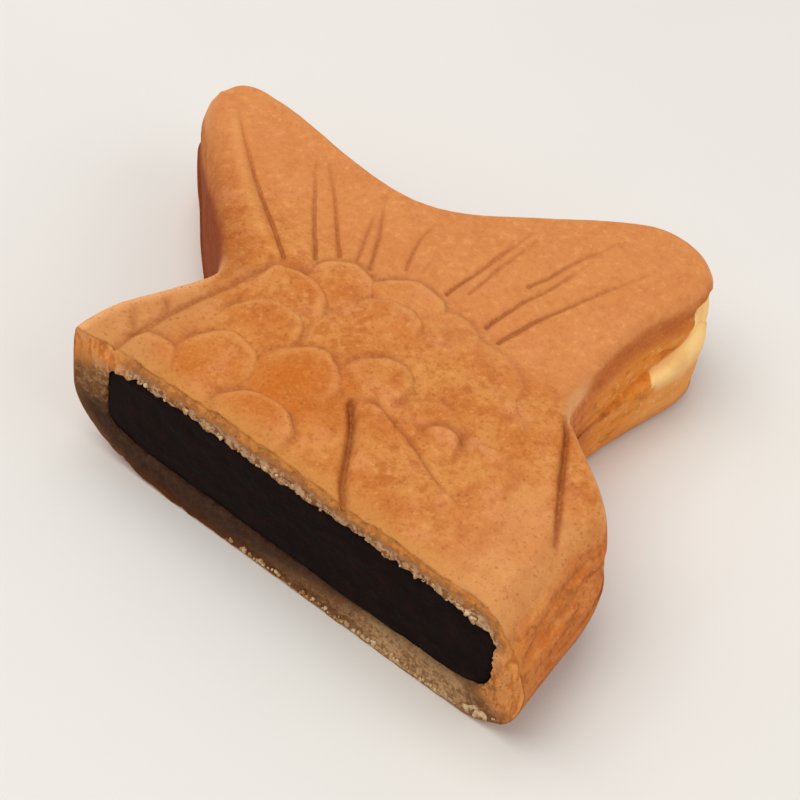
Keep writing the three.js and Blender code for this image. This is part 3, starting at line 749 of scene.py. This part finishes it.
def makePaste():
    bpy.ops.object.select_all(action="DESELECT")
    bpy.ops.mesh.primitive_uv_sphere_add(segments=paste["segments"], ring_count=paste["rings"], radius=1)
    piece = bpy.context.object
    piece.name = "bean_paste"
    ball = readArray(piece.data.vertices, "co", 3)
    polar = np.arccos(np.clip(ball[:, 2], -1, 1)) / np.pi  # 0 at the middle of the face, 1 at the nose
    angle = np.arctan2(ball[:, 1], ball[:, 0])
    inFace = np.clip(polar / paste["faceShare"], 0, 1)
    depth = np.clip((polar - paste["faceShare"]) / (1 - paste["faceShare"]), 0, 1)
    spots = pocketPoint(cake["fillReach"] * np.sin(np.pi / 2 * depth), angle, paste["grow"])
    middle = pocketSection(np.zeros(len(ball)), paste["grow"])[0]
    centre = np.column_stack([np.zeros(len(ball)), middle, np.full(len(ball), cake["fillMid"])])
    onFace = polar < paste["faceShare"]
    spots[onFace] = lerp(centre, spots, inFace[:, None])[onFace]
    back = paste["faceBack"] + lumps(spots, paste["rough"], 50) + paste["edgeBack"] * inFace ** 12
    spots[:, 0] = np.maximum(spots[:, 0], 0) + np.clip(back, 0.1, 1.2) * ramp(spots[:, 0], 3, 0)
    movePoints(piece, spots * mm + toFrame)
    editAll(piece, lambda: bpy.ops.mesh.normals_make_consistent(inside=False))
    bpy.ops.object.shade_smooth()
    return piece


pastePiece = makePaste()
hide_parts("filling")
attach(pastePiece, "root")
print("paste made", len(pastePiece.data.polygons), "faces")


# torn bits of crumb along the cut
bits = {
    "upper": 70, "lower": 170,  # how many along the two sides of the cut
    "upperEnds": (-35, 33), "lowerFrom": 12, "lowerReach": 50,
    "size": (0.14, 0.3), "bigSize": (0.3, 0.52), "bigShare": 0.25,
    # torn flap: y, z, size
    "corner": [(-33.2, 1.5, 0.6), (-34, 1.9, 0.75), (-35, 1.9, 0.8), (-35.9, 2.3, 0.7), (-34.6, 2.7, 0.55)],
    "squash": (0.55, 1.25), "lump": 0.45,
    "tan": (188, 142, 92), "pale": (224, 192, 150), "brown": (140, 94, 56),
}


def bitPlaces(dice):
    # place and size of every crumb
    places = []
    for k in range(bits["upper"] + bits["lower"]):
        size = dice.uniform(*bits["bigSize" if dice.random() < bits["bigShare"] else "size"])
        if k < bits["upper"]:
            y = dice.uniform(*bits["upperEnds"])
            mouth = pocketPoint(np.zeros(1), mouthAngle(np.array([y]), np.array([26.0])), 0.2)[0]
            places.append((mouth + (dice.uniform(0.3, 0.7), 0, dice.uniform(0, 0.9)), size))
        else:
            x, y = np.zeros(1), np.array([bits["lowerFrom"] - bits["lowerReach"] * dice.random() ** 0.85])
            ground = lowerSurface(x, y, lineDistance(rimRun[::4], x, y))[0][0]
            z = ground + size + 0.9 * dice.random() ** 2
            places.append((np.array([size * 0.6 + 0.1, y[0], z]), size))
    return places + [(np.array([0.9 * size, y, z]), size) for y, z, size in bits["corner"]]


def makeBits():
    dice = np.random.default_rng(21)
    bpy.ops.object.select_all(action="DESELECT")
    bpy.ops.mesh.primitive_uv_sphere_add(segments=8, ring_count=6, radius=1)
    seed = bpy.context.object
    ball = readArray(seed.data.vertices, "co", 3)
    pieces = []
    for k, (spot, size) in enumerate(bitPlaces(dice)):
        piece = seed
        if k:
            piece = seed.copy()
            piece.data = seed.data.copy()
            bpy.context.collection.objects.link(piece)
        pieces.append(piece)
        lump = ball * size * dice.uniform(*bits["squash"], 3)
        lump *= 1 + bits["lump"] * cloud(ball + k * 3.7, 0.6, 70)[:, None]
        movePoints(piece, (lump + spot) * mm + toFrame)
    selectOnly(seed)
    for piece in pieces:
        piece.select_set(True)
    bpy.ops.object.join()
    bpy.ops.object.shade_smooth()
    seed.name = "torn_crumb"
    movePoints(seed, np.clip(readArray(seed.data.vertices, "co", 3), cakeLow, cakeHigh))
    return seed


bitsPiece = makeBits()
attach(bitsPiece, "root")
print("crumbs made", len(bitsPiece.data.polygons), "faces")


# materials
class Wire:
    # an output socket; sums of wires and numbers add Math nodes

    def __init__(self, tree, socket):
        self.tree = tree
        self.socket = socket

    def add(self, kind, inputs, output=0, **settings):
        # any other node: its settings first, then the values or links of its sockets
        node = self.tree.nodes.new(kind)
        for name, value in settings.items():
            setattr(node, name, value)
        for name, value in inputs.items():
            if isinstance(value, Wire):
                self.tree.links.new(value.socket, node.inputs[name])
            else:
                node.inputs[name].default_value = value
        return Wire(self.tree, node.outputs[output])

    def maths(self, operation, first, second):
        return self.add("ShaderNodeMath", {0: first, 1: second}, operation=operation)

    def __add__(self, other):
        return self.maths("ADD", self, other)

    def __sub__(self, other):
        return self.maths("SUBTRACT", self, other)

    def __mul__(self, other):
        return self.maths("MULTIPLY", self, other)

    def __truediv__(self, other):
        return self.maths("DIVIDE", self, other)

    def __rsub__(self, other):
        return self.maths("SUBTRACT", other, self)

    def __rtruediv__(self, other):
        return self.maths("DIVIDE", other, self)

    __radd__ = __add__
    __rmul__ = __mul__

    def least(self, other):
        return self.maths("MINIMUM", self, other)

    def most(self, other):
        return self.maths("MAXIMUM", self, other)

    def ramp(self, low, high):
        # 0 at low and 1 at high, whichever way round they are
        return self.add("ShaderNodeMapRange", {"Value": self, "From Min": low, "From Max": high},
                        interpolation_type="SMOOTHSTEP")

    def noise(self, size, seed=0, detail=2, rough=0.5):
        # grey noise with lumps of about that size in millimetres
        return self.add("ShaderNodeTexNoise", {
            "Vector": self, "W": seed, "Scale": 1000 / size, "Detail": detail, "Roughness": rough,
        }, noise_dimensions="4D")

    def cells(self, size, output="Distance"):
        # round cells of about that size in millimetres
        return self.add("ShaderNodeTexVoronoi", {"Vector": self, "Scale": 1000 / size}, output=output)

    def vector(self, operation, other):
        return self.add("ShaderNodeVectorMath", {0: self, 1: other}, operation=operation)

    def axis(self, name):
        return self.add("ShaderNodeSeparateXYZ", {0: self}, output=name)

    def stained(self, colour, share):
        # this colour with another mixed in by the share
        return self.add("ShaderNodeMix", {0: share, 6: self, 7: colour}, output=2, data_type="RGBA")

    def coated(self, colours, *coats):
        # this colour under coats of named ones, each mixed in by its share
        colour = self
        for name, share in coats:
            colour = colour.stained(paint(*colours[name]), share)
        return colour


def paint(red, green, blue):
    # a colour in 0 to 255 as a screen shows it, turned into linear light
    return (*[((value / 255 + 0.055) / 1.055) ** 2.4 for value in (red, green, blue)], 1)


def newMaterial(name):
    material = bpy.data.materials.new(name)
    material.use_nodes = True
    tree = material.node_tree
    shader = tree.nodes["Principled BSDF"]
    place = tree.nodes.new("ShaderNodeTexCoord")
    return material, shader, Wire(tree, place.outputs["Object"])


def feed(shader, name, wire):
    wire.tree.links.new(wire.socket, shader.inputs[name])


def bumped(height):
    return height.add("ShaderNodeBump", {"Height": height, "Distance": mm, "Strength": 1.0})


def mark(place, name):
    # a mark of the piece's own points
    return place.add("ShaderNodeAttribute", {}, output="Fac", attribute_name=name)


# crust colours; some are painted light: highlights for lit rims and top edges, shade for grooves, recesses, the
# upper lobe's shaded side and the lower cut face
crust = {
    "tan": (197, 115, 50), "pale": (207, 135, 67), "deep": (178, 94, 36), "pink": (216, 138, 88),
    "tailTan": (211, 134, 76), "orange": (192, 101, 22), "ochre": (199, 132, 64), "fin": (200, 138, 82),
    "bellyTan": (218, 150, 92), "grooveBrowningAndShade": (150, 78, 34), "rim": (228, 158, 92), "rimLight": (232, 168, 112),
    "wall": (208, 116, 44), "wallRed": (150, 68, 26), "wallPale": (226, 150, 84), "lobeShadeAndBrowning": (136, 54, 8),
    "band": (222, 133, 44), "lowBand": (236, 162, 84), "shadedRecess": (184, 98, 42), "shade": (154, 76, 26),
    "fleck": (244, 178, 106), "speck": (150, 82, 38), "cream": (252, 206, 134), "creamTan": (226, 162, 94),
    "edge": (228, 146, 70), "crumb": (142, 86, 44), "crumbPale": (190, 126, 72), "crumbDark": (120, 74, 36),
    "tuft": (214, 174, 134), "finCrumb": (246, 160, 84), "shadedLowCrumb": (126, 80, 44),
    "lowPale": (176, 130, 84), "bellyCrumb": (208, 164, 116), "stainAndShade": (58, 32, 20), "lowBackShade": (84, 46, 20),
}
crustNoises = {  # size in millimetres, seed, detail and roughness
    "mottle": (8.0, 1, 2), "patch": (2.4, 2, 2), "pebble": (1.2, 14, 3, 0.65), "grain": (0.5, 3, 2, 0.6),
    "fine": (0.3, 4, 1), "blush": (6.0, 15, 2), "fluff": (1.1, 13, 3),
    "streaks": (1.4, 7, 3), "blotch": (1.9, 16, 3, 0.6), "torn": (1.1, 17, 3, 0.6),
}
crustStretch = {"streaks": (0.2, 0.2, 1), "blotch": (0.6, 0.6, 1), "torn": (1, 1, 0.25)}
rayLine = {"wobbleSize": 5.0, "wobble": (0.0009, 0.0009, 0), "outside": 0.42, "inside": 0.1, "fade": 0.85}


def nearRays(place):
    # thin lines of painted shade, partly browning, down the middle of the tail's grooves
    size = 1000 / rayLine["wobbleSize"]
    wobble = place.add("ShaderNodeTexNoise", {"Vector": place, "Scale": size, "Detail": 1}, output="Color")
    wobble = wobble.vector("SUBTRACT", (0.5, 0.5, 0.5)).vector("MULTIPLY", rayLine["wobble"])
    flat = place.vector("MULTIPLY", (1, 1, 0)).vector("ADD", wobble)
    lines = None
    for points, depth in relief["rays"]:
        line = [Vector((x * mm + toFrame[0], y * mm + toFrame[1], 0)) for x, y in points]
        for k, (start, end) in enumerate(zip(line, line[1:])):
            away = flat.vector("SUBTRACT", start)
            unit = (end - start) / (end - start).length_squared
            along = away.add("ShaderNodeVectorMath", {0: away, 1: unit}, "Value", operation="DOT_PRODUCT")
            along = along.most(0).least(1)
            spot = along.add("ShaderNodeVectorMath", {0: end - start, "Scale": along}, operation="SCALE")
            aside = away.vector("SUBTRACT", spot)
            aside = aside.add("ShaderNodeVectorMath", {0: aside}, "Value", operation="LENGTH")
            share = (along + k) / (len(line) - 1)
            part = aside.ramp(rayLine["outside"] * mm, rayLine["inside"] * mm)
            part = part * (1 - rayLine["fade"] * share * share) * depth
            lines = part if lines is None else lines.most(part)
    return lines


def makeCrust():
    material, shader, place = newMaterial("crust")
    noises = {
        name: (place.vector("MULTIPLY", crustStretch[name]) if name in crustStretch else place).noise(*settings)
        for name, settings in crustNoises.items()}
    mottle, patch, pebble, grain, fine, blush, fluff, streaks, blotch, torn = noises.values()
    tail, wall, crumb, cream, grooveBrowningAndShade, dark, backEnd, sideCrumb = (
        mark(place, name)
        for name in ("tail", "wall", "crumb", "cream", "grooveBrowningAndShade", "dark", "backEnd", "sideCrumb"))
    height, fromCut = place.axis("Z") / mm, (place.axis("X") - cakeLow.x) / mm
    rays = nearRays(place) * (1 - wall) * (0.6 + 0.6 * patch)
    specks = place.cells(0.85).ramp(0.3, 0.14) * place.cells(0.85, "Color").axis("X").ramp(0.72, 0.88)
    specks = specks * (1 - 0.75 * tail)
    nearCut = (fromCut + 2.4 * (mottle - 0.5) + 1.6 * (patch - 0.5)).ramp(4.6, 1.4)

    colour = patch.coated(
        crust,
        ("tan", 1),
        ("pale", mottle.ramp(0.4, 0.6)),
        ("pink", blush.ramp(0.5, 0.68) * 0.6),
        ("deep", patch.ramp(0.48, 0.68) * 0.6),
        ("tailTan", tail * 0.75),
        ("deep", pebble.ramp(0.5, 0.66) * 0.55 * (1 - 0.55 * tail)),
        ("rim", pebble.ramp(0.46, 0.32) * 0.45),
        ("orange", mark(place, "warm") * mottle.ramp(0.2, 0.5) * 0.95),
        ("ochre", nearCut * (0.5 + 0.6 * patch)),
        ("fin", mark(place, "fin") * (0.4 + 0.5 * patch)),
        ("bellyTan", mark(place, "bellyTop") * (0.3 + 0.5 * mottle)),
        # painted highlight on the scales' lit rims and the lobe's ridge
        ("rim", mark(place, "rim") * (0.1 + 0.6 * patch)))
    # browned sides, with streaks that run round the cake
    streaks = 0.5 + (streaks - 0.5) * (1 - 0.35 * tail) + 0.6 * (pebble - 0.5)
    side = colour.coated(
        crust,
        ("wall", 0.8),
        ("wallRed", streaks.ramp(0.5, 0.66) * 0.75),
        ("wallPale", streaks.ramp(0.46, 0.32) * 0.7),
        ("wallRed", height.ramp(18, 9) * 0.5))
    band = blotch.coated(
        crust,
        ("band", 1),
        ("wallPale", blotch.ramp(0.52, 0.66) * 0.7),
        ("wallRed", blotch.ramp(0.48, 0.34) * 0.5),
        ("lowBand", mark(place, "lowBand") * (0.4 + 0.6 * blotch)),
        ("fleck", pebble.ramp(0.58, 0.68) * 0.7))
    side = side.stained(band, mark(place, "band"))
    # painted light: shade in the recess, over the upper lobe's roll and on its left wall (partly browning
    # there), a highlight along the top edges, and shade in the grooves and down the tail's rays, partly browning
    colour = colour.stained(side, wall).coated(
        crust,
        ("shadedRecess", mark(place, "shadedRecess") * blotch.ramp(0.2, 0.6) * 0.8),
        ("shade", mark(place, "shade") * (0.6 + 0.4 * patch)),
        ("lobeShadeAndBrowning", dark * (0.8 + 0.3 * blotch)),
        ("rimLight", mark(place, "rimLight") * (0.4 + 0.7 * patch)),
        ("grooveBrowningAndShade", (grooveBrowningAndShade * (0.3 + 1.1 * patch)).least(1) * 0.7),
        ("grooveBrowningAndShade", rays * 0.9))
    deepCream = (0.5 * blush.ramp(0.42, 0.62) + 0.7 * height.ramp(12.6, 10)).least(1)
    batter = cream.coated(crust, ("cream", 1), ("creamTan", deepCream))
    colour = colour.stained(batter, cream.ramp(0.05, 0.8)).coated(
        crust,
        ("pale", grain.ramp(0.52, 0.7) * 0.5 * (1 - cream) * (1 - 0.8 * dark)),
        ("speck", specks * 0.3 * (1 - cream)),
        ("deep", grain.ramp(0.48, 0.3) * 0.45 * (1 - 0.5 * tail) * (1 - cream)))
    # open crumb of the cut: pale tufts by the paste above, stained by it below, a stain that is partly painted
    # shade; the darker lower crumb, reaching higher at the back end, and the dark foot of the back end are
    # painted shade
    fluff = 0.55 * fluff + 0.45 * grain
    high, low, deep = height.ramp(12, 15), (height - 6 * backEnd).ramp(14, 8), height.ramp(14, 8)
    soft = fluff.coated(
        crust,
        ("edge", 1),
        ("crumb", (crumb + 1.2 * (fluff - 0.5)).ramp(0.15, 0.75)),
        ("crumbPale", fluff.ramp(0.48, 0.6) * 0.5),
        ("tuft", crumb.ramp(0.42, 0.8) * fluff.ramp(0.42, 0.58) * high * 0.8))
    shadedBelow = fluff.coated(
        crust,
        ("shadedLowCrumb", 1),
        ("lowPale", fluff.ramp(0.46, 0.6) * 0.8),
        ("bellyCrumb", mark(place, "paleLow") * (0.2 + 0.75 * fluff.ramp(0.38, 0.6))))
    ends = torn.coated(
        crust,
        ("finCrumb", 1),
        ("wall", torn.ramp(0.52, 0.4) * 0.8),
        ("rimLight", torn.ramp(0.54, 0.64) * 0.7))
    tornEnds = sideCrumb * (1 - crumb.ramp(0.6, 1) * fluff.ramp(0.45, 0.55) * 0.6)
    pores = place.cells(0.8).ramp(0.26, 0.1) * patch.ramp(0.45, 0.62)
    pasteStainAndShade = (0.75 * crumb + 1.2 * (fluff - 0.5) + 0.75 * backEnd).ramp(0.5, 1.05) * deep
    soft = soft.stained(shadedBelow, low).stained(ends, tornEnds).coated(
        crust,
        ("crumbDark", pores * 0.4),
        ("stainAndShade", pasteStainAndShade * 0.9),
        ("lowBackShade", height.ramp(3.0, 1.5) * backEnd * 0.95))
    colour = colour.stained(soft, crumb.ramp(0.004, 0.03))

    shader.inputs["Specular IOR Level"].default_value = 0.18
    feed(shader, "Base Color", colour)
    feed(shader, "Roughness", 0.66 + 0.16 * patch + 0.1 * crumb)
    lumpy = 0.16 * patch - 0.16 * pebble + 0.06 * grain + 0.02 * fine - 0.07 * specks - 0.12 * rays
    lumpy = lumpy + 0.3 * wall * streaks * (1 - 0.5 * tail)
    rough = (0.35 + 0.25 * low) * (fluff - 0.5) - 0.12 * pores + 0.5 * sideCrumb * (torn - 0.5)
    feed(shader, "Normal", bumped(lumpy + crumb.ramp(0.02, 0.25) * rough))
    return material


def makePasteMaterial():
    material, shader, place = newMaterial("paste")
    lumpy, grain = place.noise(2.2, 5, 3), place.noise(0.5, 6, 2)
    colour = lumpy.coated(
        paste,
        ("dark", 1),
        ("brown", lumpy.ramp(0.45, 0.72) * 0.7),
        ("dry", grain.ramp(0.62, 0.8) * 0.35))
    shader.inputs["Specular IOR Level"].default_value = 0.06
    feed(shader, "Base Color", colour)
    feed(shader, "Roughness", 0.6 + 0.25 * lumpy)
    feed(shader, "Normal", bumped(0.25 * lumpy + 0.07 * grain))
    return material


def makeBitsMaterial():
    material, shader, place = newMaterial("torn_crumb")
    patch, grain = place.noise(1.6, 11, 2), place.noise(0.5, 12, 2)
    colour = patch.coated(
        bits,
        ("tan", 1),
        ("pale", patch.ramp(0.42, 0.6)),
        ("brown", grain.ramp(0.42, 0.3) * 0.5))
    shader.inputs["Specular IOR Level"].default_value = 0.15
    feed(shader, "Base Color", colour)
    feed(shader, "Roughness", 0.8 + 0.1 * patch)
    feed(shader, "Normal", bumped(0.15 * grain))
    return material


def dress(piece, material):
    piece.data.materials.clear()
    piece.data.materials.append(material)


dress(cakePiece, makeCrust())
dress(pastePiece, makePasteMaterial())
dress(bitsPiece, makeBitsMaterial())
print("materials made")


# floor, lights and camera
studio = {
    # place and aim in millimetres
    "cameraAt": (-178.6, -110.8, 236.0), "aim": (-1.5, -1.9, 0.0), "lens": 89.6, "sensor": 36, "roll": 8.9,
    # place in metres, size, power in watts, colour
    "lights": [
        ("window", (-0.12, 0.26, 0.84), 0.9, 6.6, (1.0, 0.985, 0.96)),
        ("side", (0.15, -0.8, 0.5), 0.9, 3.0, (1.0, 0.97, 0.93)),
    ],
    "sky": (0.93, 0.96, 1.0), "skyStrength": 0.42,
    "floorSize": 4, "floor": (224, 220, 213), "floorPale": (230, 226, 220),
}


def makeStudio():
    bpy.ops.object.select_all(action="DESELECT")
    bpy.ops.mesh.primitive_plane_add(size=studio["floorSize"], location=(0, 0, 0))
    floor = bpy.context.object
    floor.name = "floor"
    material, shader, place = newMaterial("floor")
    shade = place.noise(60, 9, 2)
    feed(shader, "Base Color", shade.coated(studio, ("floor", 1), ("floorPale", shade)))
    shader.inputs["Roughness"].default_value = 0.7
    dress(floor, material)
    for name, spot, size, power, colour in studio["lights"]:
        lamp = bpy.data.lights.new(name, "AREA")
        lamp.energy, lamp.size, lamp.color = power, size, colour
        light = bpy.data.objects.new(name, lamp)
        bpy.context.collection.objects.link(light)
        light.location = spot
        light.rotation_euler = (-light.location).to_track_quat("-Z", "Y").to_euler()
    world = bpy.data.worlds.new("studio")
    world.use_nodes = True
    sky = world.node_tree.nodes["Background"]
    sky.inputs["Color"].default_value = (*studio["sky"], 1)
    sky.inputs["Strength"].default_value = studio["skyStrength"]
    bpy.context.scene.world = world
    bpy.context.scene.view_settings.view_transform = "Standard"
    eye = bpy.data.cameras.new("camera")
    eye.lens, eye.sensor_width = studio["lens"], studio["sensor"]
    camera = bpy.data.objects.new("camera", eye)
    bpy.context.collection.objects.link(camera)
    camera.location = Vector(studio["cameraAt"]) * mm
    look = (Vector(studio["aim"]) * mm - camera.location).to_track_quat("-Z", "Y").to_matrix()
    camera.rotation_euler = (look @ Matrix.Rotation(math.radians(studio["roll"]), 3, "Z")).to_euler()
    bpy.context.scene.camera = camera


makeStudio()
print("studio made")
